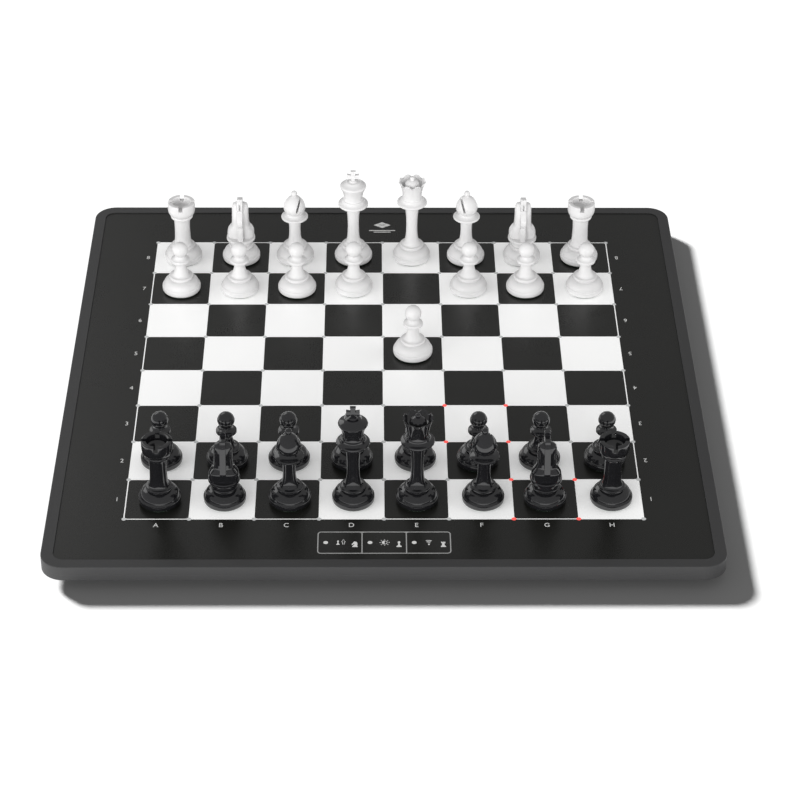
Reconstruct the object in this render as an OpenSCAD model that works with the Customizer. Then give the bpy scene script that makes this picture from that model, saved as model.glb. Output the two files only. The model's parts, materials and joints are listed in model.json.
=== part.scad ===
// Electronic chess computer: a thin board with sensors and lights under 64 fields, three keys along
// its front edge, and its 32 chess pieces. Millimetres. X runs along the files' letters, Y from the
// near side (rank 1) to the far side (rank 8), Z up. The origin is the middle of the footprint, on
// the surface that the board stands on.

/* [Board] */
// Side of one field
square = 36; // [35:0.5:39]
// Width of the raised frame around the playing panel
frame_w = 6.8; // [6:0.2:8]
// How far the frame stands above the playing panel
frame_rise = 0.6; // [0.4:0.1:1]
// Radius of the board's four outer corners
corner_r = 13; // [11:0.5:16]
// Height of the frame's side wall
skirt_h = 5.5; // [5:0.1:6]
// Height of the lower shell's upright rim
rim_h = 3.5; // [3.3:0.1:4]
// How far the underside draws in on every side
under_inset = 14; // [12:0.5:15]
// Height over which the underside draws in
under_rise = 5.1; // [5:0.1:6]
// Radius of the frame's upper outer edge
edge_r = 0.6; // [0.3:0.1:1]
// Thickness of the outer walls
wall = 2.2; // [2:0.1:2.4]
// Thickness of the lower shell's floor
floor_t = 2; // [1.8:0.1:2.2]

/* [Playing panel] */
// Thickness of the playing panel
panel_t = 2; // [1.8:0.1:2.2]
// Thickness of the light sheet let into the panel
sheet_t = 0.4; // [0.3:0.05:0.6]
// Diameter of a corner dot
dot_d = 2.6; // [2.4:0.1:3.2]
// Corner radius of a dark field
field_r = 2; // [1:0.1:3]
// How far the light border line reaches past the fields
border = 0.35; // [0.2:0.05:0.8]

/* [Keys] */
// Width of the key strip's outline
strip_w = 73.2; // [70:0.2:76]
// Depth of the key strip's outline
strip_d = 19.2; // [18:0.2:20]
// Distance of the key strip's middle from the board's middle, in fields
strip_at = 4.58; // [4.5:0.01:4.65]
// Width of the light outline and of its dividers
trim_w = 0.6; // [0.5:0.05:0.9]
// Travel of a key
key_travel = 0.4; // [0.3:0.05:0.45]

/* [Feet and screws] */
// Height of the rubber feet below the shell
foot_h = 1.5; // [1.2:0.1:3]
// Diameter of a rubber foot
foot_d = 16; // [12:1:20]
// Travel of the power switch
switch_travel = 3; // [2:0.5:3.5]

/* [Hidden] */
$fn = 48;

// Heights, from the table up
z_shell = foot_h;
z_floor = z_shell + floor_t;
z_rim = z_shell + under_rise;
z_seam = z_rim + rim_h;
z_top = z_seam + skirt_h;
z_panel = z_top - frame_rise;
z_ledge = z_panel - panel_t;
ledge_t = 2;
board_t = 1.6;
spacer_t = 2.5;
z_sensor = z_ledge - spacer_t - board_t;
z_control = z_shell + 4.7;

// Plan sizes
panel_w = 10 * square + 0.1;
opening_w = panel_w + 0.3;
body_w = opening_w + 2 * frame_w;
cavity_w = body_w - 2 * wall;
ledge_in = 20;
field_half = 4 * square;
inner_r = corner_r - frame_w;
fit = 0.05;

// Colours
dark_grey = "#3f4041";
panel_grey = "#2b2b2a";
print_white = "#e9eae8";
board_green = "#1d5b3a";
chip_black = "#222326";
steel = "#b9bcc0";
white_plastic = "#f1f0ee";
black_plastic = "#161617";

// --- helpers ---------------------------------------------------------------

// Rectangle with round corners, built from plain squares and circles
module round_rect(w, d, r) {
    square([w - 2 * r, d], center = true);
    square([w, d - 2 * r], center = true);
    for (x = [-1, 1], y = [-1, 1])
        translate([x * (w / 2 - r), y * (d / 2 - r)]) circle(r = r);
}

module plate(w, d, r, z0, z1) {
    translate([0, 0, z0]) linear_extrude(height = z1 - z0) round_rect(w, d, r);
}

module block(size, at) {
    translate([at[0] - size[0] / 2, at[1] - size[1] / 2, at[2]]) cube(size);
}

module disc(r, z0, z1) {
    translate([0, 0, z0]) cylinder(r = r, h = z1 - z0);
}

// What a round of radius f takes off the top rim of a plate w by d with corner radius r
module rim_cut(w, d, r, z, f) {
    long_x = w - 2 * r;
    long_y = d - 2 * r;
    for (turn = [0, 180]) rotate([0, 0, turn]) {
        translate([-long_x / 2, d / 2, z]) rotate([90, 0, 90])
            linear_extrude(height = long_x) rim_corner(f);
        translate([w / 2, long_y / 2, z]) rotate([90, 0, 0])
            linear_extrude(height = long_y) rim_corner(f);
        translate([long_x / 2, long_y / 2, z]) rotate_extrude(angle = 90)
            translate([r, 0]) rim_corner(f);
        translate([-long_x / 2, long_y / 2, z]) rotate([0, 0, 90]) rotate_extrude(angle = 90)
            translate([r, 0]) rim_corner(f);
    }
}

// Section of that cut: the corner at the origin, less a quarter circle inside it
module rim_corner(f) {
    difference() {
        translate([-f, -f]) square(2 * f);
        translate([-f, -f]) circle(r = f);
    }
}

// Points of a bend that leaves a towards b and arrives at c
function bend(a, b, c, n = 5) =
    [for (i = [0:n]) let (t = i / n) (1 - t) * (1 - t) * a + 2 * t * (1 - t) * b + t * t * c];

// Points of a round, from angle a0 to a1
function arc(c, r, a0, a1, n = 8) =
    [for (i = [0:n]) let (a = a0 + (a1 - a0) * i / n) c + r * [cos(a), sin(a)]];

// Middle of a field: file 0 to 7 is A to H, rank 1 to 8
function field_x(file) = (file - 3.5) * square;
function field_y(rank) = (rank - 4.5) * square;

// --- board: shells ----------------------------------------------------------

case_screw_at = [for (a = [-1, 1], b = [-1, 1]) [a * 166, b * 166],
                 for (a = [-1, 1], b = [-57, 57]) [a * 166, b],
                 for (a = [-57, 57], b = [-1, 1]) [a, b * 166]];
board_screw_at = [for (x = [-135, -45, 45, 135], y = [-135, -45, 45, 135]) [x, y]];
control_at = [-96, 149.5];
control_size = [64, 59];
control_edge = control_at[1] + control_size[1] / 2;
control_screw_at = [for (x = [-27, 27], y = [-25, 8]) control_at + [x, y]];
foot_at = [for (x = [-145, 145], y = [-145, 0, 145]) [x, y]];
usb_x = -96;
usb_z = z_seam - 1.72;
usb_len = 10.5;
usb_y = body_w / 2 - 0.7 - usb_len;
switch_x = -74;
switch_z = z_seam - 1.8;
switch_y = body_w / 2 - 10.3;

module bottom_case() {
    low_w = body_w - 2 * under_inset;
    color(dark_grey) difference() {
        union() {
            difference() {
                union() {
                    hull() {
                        plate(low_w, low_w, 3, z_shell, z_shell + 0.01);
                        plate(body_w, body_w, corner_r, z_rim - 0.01, z_rim);
                    }
                    plate(body_w, body_w, corner_r, z_rim, z_seam);
                }
                hull() {
                    plate(low_w - 1, low_w - 1, 3, z_floor, z_floor + 0.01);
                    plate(cavity_w, cavity_w, corner_r - wall, z_rim + 1.4, z_rim + 1.5);
                }
                plate(cavity_w, cavity_w, corner_r - wall, z_rim + 1.45, z_seam + 1);
            }
            for (p = case_screw_at) translate(p) disc(3.75, z_floor - 0.5, z_seam - 2.1);
            for (p = board_screw_at) translate(p) disc(3, z_floor - 0.5, z_sensor);
            for (p = control_screw_at) translate(p) disc(2.6, z_floor - 0.5, z_control);
        }
        for (p = case_screw_at) translate(p) {
            disc(1.45, z_shell - 1, z_seam);
            disc(2.9, z_shell - 1, z_floor + 0.2);
        }
        for (p = board_screw_at) translate(p) disc(0.85, z_floor + 0.4, z_sensor + 1);
        for (p = control_screw_at) translate(p) disc(0.85, z_floor + 0.4, z_control + 1);
        for (p = foot_at) translate(p) disc(foot_d / 2 + 0.1, z_shell - 1, z_shell + 0.8);
        usb_mouth();
        switch_slot();
    }
}

// Round-ended mouth in the rear wall for the charging plug
module usb_mouth() {
    translate([usb_x, body_w / 2 - 8, usb_z]) rotate([-90, 0, 0])
        linear_extrude(height = 13) round_rect(9.3, 3.5, 1.7);
}

// Slot for the switch's knob, in a shallow finger recess of the rear wall
module switch_slot() {
    translate([switch_x, body_w / 2 - 5, switch_z]) rotate([-90, 0, 0])
        linear_extrude(height = 10) round_rect(4.3 + switch_travel, 2.2, 0.4);
    translate([switch_x, body_w / 2 - 1, switch_z]) rotate([-90, 0, 0])
        linear_extrude(height = 5) round_rect(13, 3, 1.4);
}

module top_frame() {
    color(dark_grey) difference() {
        union() {
            difference() {
                plate(body_w, body_w, corner_r, z_seam, z_top);
                rim_cut(body_w, body_w, corner_r, z_top, edge_r);
                plate(opening_w, opening_w, inner_r, z_ledge, z_top + 1);
                plate(cavity_w, cavity_w, corner_r - wall, z_seam - 1, z_ledge - ledge_t);
                plate(opening_w - 2 * ledge_in, opening_w - 2 * ledge_in, 4, z_seam, z_top);
            }
            // Tongue that drops inside the lower shell's rim
            difference() {
                plate(cavity_w - 0.3, cavity_w - 0.3, corner_r - wall - 0.1, z_seam - 1.2, z_seam + 1.5);
                plate(cavity_w - 2.7, cavity_w - 2.7, corner_r - wall - 1.3, z_seam - 2, z_seam + 2);
            }
            for (p = case_screw_at) translate(p) disc(3.2, z_seam - 2, z_ledge - ledge_t + 0.5);
        }
        for (p = case_screw_at) translate(p) disc(1.3, z_seam - 3, z_ledge - 0.8);
        // Room for the keys, the charging socket and the power switch
        block([strip_w + 14, 34, 10], [0, -strip_at * square + 4, z_seam - 2]);
        block([70, 8, 3], [usb_x + 8, cavity_w / 2 - 1, z_seam - 3]);
        usb_mouth();
    }
}

module rubber_feet() {
    color("#1b1b1c") for (p = foot_at) translate(p) disc(foot_d / 2, 0, z_shell + 0.8);
}

// --- board: playing panel ---------------------------------------------------

// Outline of the light sheet, grown by g all around
module sheet_outline(g) {
    side = square - 0.5 - 2 * g;
    difference() {
        square(2 * (field_half + border + g), center = true);
        for (f = [0:7], r = [1:8]) if ((f + r) % 2 == 1)
            translate([field_x(f), field_y(r)]) round_rect(side, side, field_r);
    }
}

module dot_places(lit) {
    for (i = [-4:4], j = [-4:4]) if (is_lit(i, j) == lit)
        translate([i * square, j * square]) children();
}

// The two fields whose corners are lit, as [file, rank]
lit_fields = [[5, 3], [6, 1]];
function is_lit(i, j) =
    len([for (q = lit_fields, a = [0, 1], b = [0, 1])
        if (q[0] - 4 + a == i && q[1] - 5 + b == j) 1]) > 0;

module all_dots() {
    dot_places(true) children();
    dot_places(false) children();
}

module play_panel() {
    color(panel_grey) difference() {
        plate(panel_w, panel_w, inner_r - 0.15, z_ledge, z_panel);
        translate([0, 0, z_panel - sheet_t]) linear_extrude(height = 1) sheet_outline(0.02);
        all_dots() disc(dot_d / 2 + fit, z_ledge - 1, z_panel + 1);
        translate([0, -strip_at * square])
            plate(strip_w + 0.1, strip_d + 0.1, 2.25, z_ledge - 1, z_panel + 1);
    }
}

module light_square_sheet() {
    color(print_white) difference() {
        translate([0, 0, z_panel - sheet_t]) linear_extrude(height = sheet_t) sheet_outline(0);
        all_dots() disc(dot_d / 2 + fit, z_ledge, z_panel + 1);
    }
}

module dot_lens() {
    disc(dot_d / 2, z_ledge - 0.8, z_panel + 0.02);
    disc(dot_d / 2 + 0.7, z_ledge - 0.9, z_ledge - 0.05);
}

module dot_lenses() {
    color("#cfd2d3") dot_places(false) dot_lens();
}

module lit_dot_lenses() {
    color("#e04a48") dot_places(true) dot_lens();
}

module spacer_grid() {
    grid_w = 2 * field_half + 7;
    color("#1a1a1b") difference() {
        plate(grid_w, grid_w, 3, z_ledge - spacer_t, z_ledge - 0.02);
        for (f = [0:7], r = [1:8])
            block([square - 6, square - 6, 4], [field_x(f), field_y(r), z_ledge - spacer_t - 0.5]);
        all_dots() {
            disc(1.7, z_ledge - spacer_t - 1, z_ledge);
            disc(dot_d / 2 + 0.8, z_ledge - 1, z_ledge + 1);
        }
    }
}

// --- board: electronics -----------------------------------------------------

module sensor_board() {
    tab_d = 30;
    color(board_green) difference() {
        union() {
            plate(2 * field_half + 8, 2 * field_half + 8, 3, z_sensor, z_sensor + board_t);
            translate([0, -field_half - tab_d / 2])
                plate(strip_w + 6, tab_d, 3, z_sensor, z_sensor + board_t);
        }
        for (p = board_screw_at) translate(p) disc(1.1, z_sensor - 1, z_sensor + board_t + 1);
    }
}

module square_sensors() {
    color(chip_black) for (f = [0:7], r = [1:8])
        block([3, 3, 1], [field_x(f), field_y(r), z_sensor + board_t]);
}

module dot_leds() {
    color("#f4f1e6") all_dots() block([2, 1.6, 0.7], [0, 0, z_sensor + board_t]);
}

divider_x = 12.15;
side_cell_w = strip_w / 2 - trim_w - divider_x - trim_w / 2;
mid_cell_w = 2 * divider_x - trim_w;
side_key_x = strip_w / 2 - trim_w - side_cell_w / 2;
key_x = [-side_key_x, 0, side_key_x];

module key_leds() {
    color("#f4f1e6") for (x = key_x)
        block([1.6, 1.2, 0.6], [x - 7.8, -strip_at * square, z_sensor + board_t]);
}

module key_switches() {
    color(chip_black) for (x = key_x) translate([x, -strip_at * square]) difference() {
        block([6, 6, 1], [0, 0, z_sensor + board_t]);
        disc(1.7, z_sensor + board_t + 0.4, z_sensor + 4);
    }
}

module control_board() {
    color(board_green) difference() {
        translate(control_at) plate(control_size[0], control_size[1], 2, z_control, z_control + board_t);
        for (p = control_screw_at) translate(p) disc(1.1, z_control - 1, z_control + 3);
        block([9.4, 2 * (control_edge - usb_y + 0.2), 4], [usb_x, control_edge, z_control - 1]);
        block([11.4, 2 * (control_edge - switch_y + 0.2), 4], [switch_x, control_edge, z_control - 1]);
    }
}

module control_chips() {
    color(chip_black) translate([control_at[0], control_at[1], z_control - 1.4]) {
        block([12, 12, 1.4], [-2, -8, 0]);
        block([8, 6, 1.2], [16, -4, 0.2]);
        block([6, 5, 1.2], [-20, 10, 0.2]);
        block([18, 4, 1.4], [0, -27, 0]);
        block([6, 4, 1.4], [14, -21, 0]);
    }
    color(chip_black) block([18, 4, 1.2], [control_at[0], 100, z_sensor - 1.2]);
}

module radio_module() {
    color(steel) block([16, 12, 1.8], [control_at[0] - 20, control_at[1] - 8, z_control - 1.8]);
}

module battery_cell() {
    color("#8f9aa6") plate(76, 56, 2, z_floor + 0.05, z_floor + 4);
}

// Two wires from the cell to the plug on the control board
module battery_lead() {
    start_y = 28.05;
    turn = 8;
    run_y = 104;
    plug = control_at + [14, -23.05];
    wire_r = 0.55;
    wire_z = z_control - 0.75;
    for (side = [-1, 1]) color(side > 0 ? "#b3201f" : "#1d1d1f") {
        s = 0.8 * side;
        x0 = -20 + s;
        translate([x0, start_y, wire_z]) rotate([-90, 0, 0])
            cylinder(r = wire_r, h = run_y - turn - start_y);
        translate([-20 - turn, run_y - turn, wire_z]) rotate_extrude(angle = 90)
            translate([turn + s, 0]) circle(r = wire_r);
        translate([-20 - turn, run_y + s, wire_z]) rotate([0, -90, 0])
            cylinder(r = wire_r, h = -20 - 2 * turn - plug[0]);
        translate([plug[0] + turn, run_y + turn, wire_z]) rotate([0, 0, 180]) rotate_extrude(angle = 90)
            translate([turn - s, 0]) circle(r = wire_r);
        translate([plug[0] + s, run_y + turn, wire_z]) rotate([-90, 0, 0])
            cylinder(r = wire_r, h = plug[1] - run_y - turn);
    }
}

// Flat cable from the control board's connector up to the sensor board's connector
module ribbon_cable() {
    near = 102;
    far = control_at[1] - 29;
    low = z_control - 0.8;
    high = z_sensor - 0.7;
    t = 0.3;
    color("#d9d7cf") translate([control_at[0] - 8, 0, 0]) rotate([90, 0, 90]) linear_extrude(height = 16)
        polygon([[far, low], [far - 7, low], [near + 6, high], [near, high],
                 [near, high + t], [near + 6.2, high + t], [far - 6.8, low + t], [far, low + t]]);
}

// Charging socket: a metal sleeve with a tongue on its back wall
module usb_socket() {
    color(steel) translate([usb_x, usb_y, usb_z]) rotate([-90, 0, 0]) difference() {
        linear_extrude(height = usb_len) round_rect(8.94, 3.2, 1.55);
        translate([0, 0, 1]) linear_extrude(height = usb_len) round_rect(8.34, 2.56, 1.25);
    }
    color(chip_black) block([6.7, 7.8, 0.7], [usb_x, usb_y + 4.85, usb_z - 0.35]);
}

module power_switch() {
    color(chip_black) difference() {
        block([10.6, 5, 2.8], [switch_x, switch_y + 2.5, switch_z - 1.4]);
        block([4.4 + switch_travel, 4.2, 2], [switch_x, switch_y + 3.3, switch_z - 1]);
    }
}

module power_switch_knob() {
    y_in = switch_y + 1.3;
    y_out = body_w / 2 - 0.2;
    color("#2c2c2d") block([3.6, y_out - y_in, 1.6],
        [switch_x - switch_travel / 2, (y_in + y_out) / 2, switch_z - 0.8]);
}

// --- board: keys --------------------------------------------------------------

key_gap = 0.15;

module key_trim() {
    color("#a9aaa9") translate([0, -strip_at * square]) {
        difference() {
            plate(strip_w, strip_d, 2.2, z_ledge, z_panel);
            plate(strip_w - 2 * trim_w, strip_d - 2 * trim_w, 1.6, z_ledge - 1, z_panel + 1);
        }
        for (x = [-divider_x, divider_x])
            block([trim_w, strip_d - trim_w, panel_t], [x, 0, z_ledge]);
    }
}

// One key: flush cap, hidden flange that keeps it in, and a stem over its switch
module key_cap(x, w) {
    cap_w = w - 2 * key_gap;
    cap_d = strip_d - 2 * trim_w - 2 * key_gap;
    color(panel_grey) translate([x, -strip_at * square]) {
        difference() {
            plate(cap_w, cap_d, 1.2, z_ledge - 0.7, z_panel);
            translate([-7.8, 0]) disc(1.3, z_ledge - 1, z_panel - 0.4);
        }
        difference() {
            plate(cap_w + 0.5, cap_d + 1, 1.2, z_ledge - 0.7, z_ledge - 0.1);
            translate([-7.8, 0]) disc(1.3, z_ledge - 1, z_ledge);
        }
        disc(1.5, z_sensor + board_t + 0.4 + key_travel + 0.2, z_ledge - 0.5);
    }
}

module side_swap_key() { key_cap(-side_key_x, side_cell_w); }
module brightness_key() { key_cap(0, mid_cell_w); }
module wireless_key() { key_cap(side_key_x, side_cell_w); }

// --- board: screws --------------------------------------------------------------

module screw(head_r, head_h, shank_r, shank_l) {
    disc(head_r, 0, head_h);
    disc(shank_r, head_h - 0.2, head_h + shank_l);
}

module case_screws() {
    color(steel) for (p = case_screw_at)
        translate([p[0], p[1], z_floor - 1.4]) screw(2.5, 1.6, 1.25, 8);
}

module board_screws() {
    color(steel) {
        for (p = board_screw_at)
            translate([p[0], p[1], z_sensor + board_t + 1.2]) mirror([0, 0, 1]) screw(1.9, 1.2, 0.8, 5.5);
        for (p = control_screw_at)
            translate([p[0], p[1], z_control + board_t + 0.8]) mirror([0, 0, 1]) screw(1.6, 0.8, 0.8, 3.6);
    }
}

// --- chess pieces -----------------------------------------------------------------
// The outlines below are for a field of 36, and are scaled with the field.

base_r = 11.9;
piece_k = square / 36;

foot_outline = concat(
    [[0, 0.6]],
    bend([base_r - 1.6, 0.6], [base_r, 0.6], [base_r, 2.4], 4),
    bend([base_r, 3.6], [base_r, 4.5], [base_r - 0.7, 4.8], 3),
    bend([base_r - 0.8, 4.9], [10.5, 8.1], [7.3, 9]),
    [[7, 9.2], [7.35, 9.6], [7.35, 10.9], [6.9, 11.3]]);

tall_stem = concat(
    bend([5.7, 11.5], [3.9, 13.5], [3.6, 20]),
    bend([3.5, 24], [3.5, 31], [4.2, 36.5], 4));

king_top = concat(
    bend([4.3, 37], [4.5, 39.2], [8.9, 39.5], 4),
    [[9.4, 40], [9.4, 40.9]],
    bend([9.1, 41.3], [7.2, 41.7], [6.8, 43], 3),
    [[6.7, 43.5], [6, 43.8]],
    bend([5.85, 44.3], [5.6, 48.4], [8.2, 52.8]),
    [[8.35, 53.3], [8.1, 53.9]],
    bend([7.7, 54.3], [5, 55.2], [4.4, 56.1], 3),
    [[3.9, 56.4], [2.5, 56.6]],
    bend([2.3, 56.8], [2, 57.6], [0, 57.8], 3));

queen_top = concat(
    bend([4.3, 37.8], [4.5, 40.2], [8.9, 40.5], 4),
    [[9.4, 41], [9.4, 41.8]],
    bend([9.1, 42.2], [7.1, 42.6], [6.7, 43.8], 3),
    [[6.6, 44.3], [6.1, 44.6]],
    bend([6, 45.2], [5.9, 50.6], [8.5, 56.6], 6),
    [[8.2, 56.9], [7.7, 56.6]],
    bend([7.2, 55.6], [6, 53.4], [4.9, 53.4], 3),
    bend([4.8, 53.8], [4.2, 57], [1.3, 57.5], 4),
    arc([0, 58.4], 1.5, -28, 90, 6));

bishop_top = concat(
    bend([5.7, 11.5], [3.9, 13.5], [3.65, 19]),
    bend([3.6, 20], [3.5, 25], [3.9, 28], 3),
    bend([4, 28.4], [4.2, 30.1], [7.9, 30.4], 4),
    [[8.4, 30.8], [8.4, 31.5]],
    bend([8, 31.9], [5.6, 32.2], [4.9, 33.3], 3),
    bend([4.5, 33.7], [7.9, 36.5], [6.5, 40.2], 6),
    bend([6.35, 40.7], [5, 44.6], [1.6, 46.1], 5),
    arc([0, 47.8], 1.95, -48, 90, 7));

rook_top = concat(
    bend([5.9, 11.5], [5.1, 13], [4.95, 17]),
    bend([4.85, 20], [4.7, 25], [5, 29]),
    bend([5.1, 29.5], [5.2, 30.8], [6.6, 31.1], 3),
    [[6.9, 31.5], [6.9, 32.3], [6.6, 32.7]],
    bend([6.65, 33], [8.55, 34.2], [8.55, 37.4]),
    [[8.55, 41.8], [8.25, 42.1], [6.1, 42.1], [5.8, 41.8], [5.7, 38.6]],
    bend([5.6, 37.8], [4.6, 36.6], [0, 36.6], 4));

pawn_top = concat(
    bend([5.6, 11.5], [4.3, 12.6], [3.45, 17.2]),
    bend([3.4, 18], [3.3, 20.4], [5.3, 20.9], 3),
    [[5.9, 21.3], [5.9, 22.6]],
    bend([5.7, 22.9], [3.6, 23.2], [3, 25], 3),
    arc([0, 29.3], 4.93, -52, 90, 12));

knight_stand = concat(
    bend([6.4, 11.5], [5.8, 13.4], [7.4, 14.5], 3),
    [[8.7, 14.9], [9, 15.3], [9, 16.4], [8.7, 16.8], [0, 16.9]]);

// Knight's shoulders and neck from the front, right half, as [across, up]
neck_half = [[8.2, 16.6], [8.3, 18], [8.3, 21], [5.6, 24.9], [5.4, 28],
    [5.2, 36.5], [4.9, 39], [3.9, 40.6], [2.4, 40.8]];

// The same from the side, as [forward, up]
neck_side = concat(
    [[4.2, 16.6], [4.2, 26], [4.6, 31.5], [3.8, 35.6]],
    bend([2.6, 38.6], [1.4, 40.7], [-0.8, 40.8], 3),
    bend([-3, 40.2], [-6.8, 35.6], [-6.9, 27], 4),
    [[-6.9, 16.6]]);

// Flat plate of the knight's face, ears and mane, from the side
horse_outline = concat(
    [[7.6, 16.6], [8, 20], [7.9, 23.4], [7.3, 25.4], [6.5, 26.2], [7.1, 26.9]],
    bend([7.9, 27.2], [9.6, 29], [9, 32.4], 4),
    bend([8.4, 33.6], [7, 35.6], [5.5, 37], 3),
    [[5.5, 37.7], [4.7, 38], [4.4, 41.6], [4.4, 45.6], [2, 45.6], [2, 43], [-3.7, 43], [-4, 41.1]],
    bend([-4.4, 41], [-7.4, 37], [-8, 33.2], 3),
    [[-8.4, 28], [-8.2, 23.4], [-7.4, 22.8], [-6.4, 22.7], [-6.2, 16.6]]);

magnet_r = 4;

// A turned piece: body with a blind bore for its magnet, the magnet, and the felt under the foot
module turned(outline, tint) {
    color(tint) difference() {
        rotate_extrude() polygon(concat(outline, [[0, outline[len(outline) - 1][1]]]));
        disc(magnet_r + fit, 0, 4.2);
    }
    color(steel) disc(magnet_r, 1.2, 4.1);
    color("#27452f") disc(10.4, 0.02, 0.55);
}

module king(tint) {
    turned(concat(foot_outline, tall_stem, king_top), tint);
    // Cross with flared arms
    color(tint) translate([0, 1.1, 0]) rotate([90, 0, 0]) linear_extrude(height = 2.2)
        polygon([[-1, 57], [-1.1, 58.9], [-3.75, 58.5], [-3.75, 61.7], [-1.3, 61.3], [-1.6, 64.1],
                 [1.6, 64.1], [1.3, 61.3], [3.75, 61.7], [3.75, 58.5], [1.1, 58.9], [1, 57]]);
}

module queen(tint) {
    color(tint) difference() {
        union() turned(concat(foot_outline, tall_stem, queen_top), tint);
        for (a = [0:45:315]) rotate([0, 0, a]) translate([5.6, 0, 57.3]) rotate([0, 90, 0])
            cylinder(r = 1.9, h = 5);
    }
}

module rook(tint) {
    color(tint) difference() {
        union() turned(concat(foot_outline, rook_top), tint);
        block([2.5, 20, 5], [0, 0, 39.2]);
        block([20, 2.5, 5], [0, 0, 39.2]);
    }
}

// The saw cut in the mitre leans to side: 1 for one bishop, -1 for the other
module bishop(tint, side) {
    color(tint) difference() {
        union() turned(concat(foot_outline, bishop_top), tint);
        translate([1.3 * side, 0, 37.4]) rotate([0, 17 * side, 0]) block([1.3, 8, 12], [0, -4, 0]);
    }
}

module pawn(tint) {
    turned(concat(foot_outline, pawn_top), tint);
}

// A side view made t thick, across the knight's middle
module from_side(t, outline) {
    translate([t / 2, 0, 0]) rotate([90, 0, -90]) linear_extrude(height = t) polygon(outline);
}

module knight(tint) {
    n = len(neck_half);
    turned(concat(foot_outline, knight_stand), tint);
    color(tint) {
        intersection() {
            disc(8.8, 15, 45);
            from_side(20, neck_side);
            translate([0, 10, 0]) rotate([90, 0, 0]) linear_extrude(height = 20)
                polygon(concat(neck_half, [for (i = [n - 1:-1:0]) [-neck_half[i][0], neck_half[i][1]]]));
        }
        difference() {
            from_side(3.4, horse_outline);
            block([1, 2.4, 3], [0, -4, 38.4]);
        }
    }
}

// How far a player set each piece down from the middle of its field, files a to h, [across, away]
white_home = [
    [-0.5, -0.8], [0.3, -0.5], [-1.4, -0.5], [-0.4, -0.3],
    [0.6, 0], [-0.9, -0.5], [-1.3, -0.7], [-0.7, -0.8]];
white_pawns = [
    [0.3, -1.1], [1, -1.5], [0.6, -1.6], [0, -0.6],
    [0, 0], [-0.2, -1], [-0.7, -1.3], [0.5, -1.3]];
black_home = [
    [0.9, -1.3], [1.2, -1.1], [1.5, -1.2], [0.9, -1],
    [0.5, -1], [1.4, -1], [0, -1], [1, -1]];
black_pawns = [
    [-0.4, -0.7], [1, -0.9], [0.2, -0.9], [0, -0.8],
    [0, -0.8], [-0.5, -0.8], [-1.2, -0.8], [0, -0.8]];

// Stands a piece on a field, facing away from the near side when turn is 180
module on_field(file, rank, turn, off) {
    translate([field_x(file) + off[0], field_y(rank) + off[1], z_panel + 0.03]) rotate([0, 0, turn])
        scale(piece_k) children();
}

module white_at(file, rank) {
    on_field(file, rank, 0, rank == 8 ? white_home[file] : white_pawns[file]) children();
}
module black_at(file, rank) {
    on_field(file, rank, 180, rank == 1 ? black_home[file] : black_pawns[file]) children();
}

module white_king() { white_at(3, 8) king(white_plastic); }
module white_queen() { white_at(4, 8) queen(white_plastic); }
module white_rook_a() { white_at(0, 8) rook(white_plastic); }
module white_rook_h() { white_at(7, 8) rook(white_plastic); }
module white_knight_b() { white_at(1, 8) knight(white_plastic); }
module white_knight_g() { white_at(6, 8) knight(white_plastic); }
module white_bishop_c() { white_at(2, 8) bishop(white_plastic, 1); }
module white_bishop_f() { white_at(5, 8) bishop(white_plastic, -1); }
module white_pawn(file, rank) { white_at(file, rank) pawn(white_plastic); }

module black_king() { black_at(3, 1) king(black_plastic); }
module black_queen() { black_at(4, 1) queen(black_plastic); }
module black_rook_a() { black_at(0, 1) rook(black_plastic); }
module black_rook_h() { black_at(7, 1) rook(black_plastic); }
module black_knight_b() { black_at(1, 1) knight(black_plastic); }
module black_knight_g() { black_at(6, 1) knight(black_plastic); }
module black_bishop_c() { black_at(2, 1) bishop(black_plastic, 1); }
module black_bishop_f() { black_at(5, 1) bishop(black_plastic, -1); }
module black_pawn(file) { black_at(file, 2) pawn(black_plastic); }

// --- what is drawn ---------------------------------------------------------------

bottom_case();
top_frame();
play_panel();
light_square_sheet();
dot_lenses();
lit_dot_lenses();
spacer_grid();
sensor_board();
square_sensors();
dot_leds();
key_leds();
key_switches();
control_board();
control_chips();
radio_module();
battery_cell();
battery_lead();
ribbon_cable();
usb_socket();
power_switch();
power_switch_knob();
key_trim();
side_swap_key();
brightness_key();
wireless_key();
rubber_feet();
case_screws();
board_screws();
white_king();
white_queen();
white_rook_a();
white_rook_h();
white_knight_b();
white_knight_g();
white_bishop_c();
white_bishop_f();
white_pawn(0, 7);  // white_pawn_a
white_pawn(1, 7);  // white_pawn_b
white_pawn(2, 7);  // white_pawn_c
white_pawn(3, 7);  // white_pawn_d
white_pawn(4, 5);  // white_pawn_e
white_pawn(5, 7);  // white_pawn_f
white_pawn(6, 7);  // white_pawn_g
white_pawn(7, 7);  // white_pawn_h
black_king();
black_queen();
black_rook_a();
black_rook_h();
black_knight_b();
black_knight_g();
black_bishop_c();
black_bishop_f();
black_pawn(0);  // black_pawn_a
black_pawn(1);  // black_pawn_b
black_pawn(2);  // black_pawn_c
black_pawn(3);  // black_pawn_d
black_pawn(4);  // black_pawn_e
black_pawn(5);  // black_pawn_f
black_pawn(6);  // black_pawn_g
black_pawn(7);  // black_pawn_h
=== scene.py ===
"""The looks of the electronic chess computer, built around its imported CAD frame.

Everything is in metres, in the CAD's frame: X along the files, Y from the near side to the far
side, Z up from the table. Lengths inside the piece builders are millimetres, and MM turns them
into metres where a mesh is made.
"""
import json
import math

import bpy
import numpy as np
from mathutils import Matrix, Vector


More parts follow.
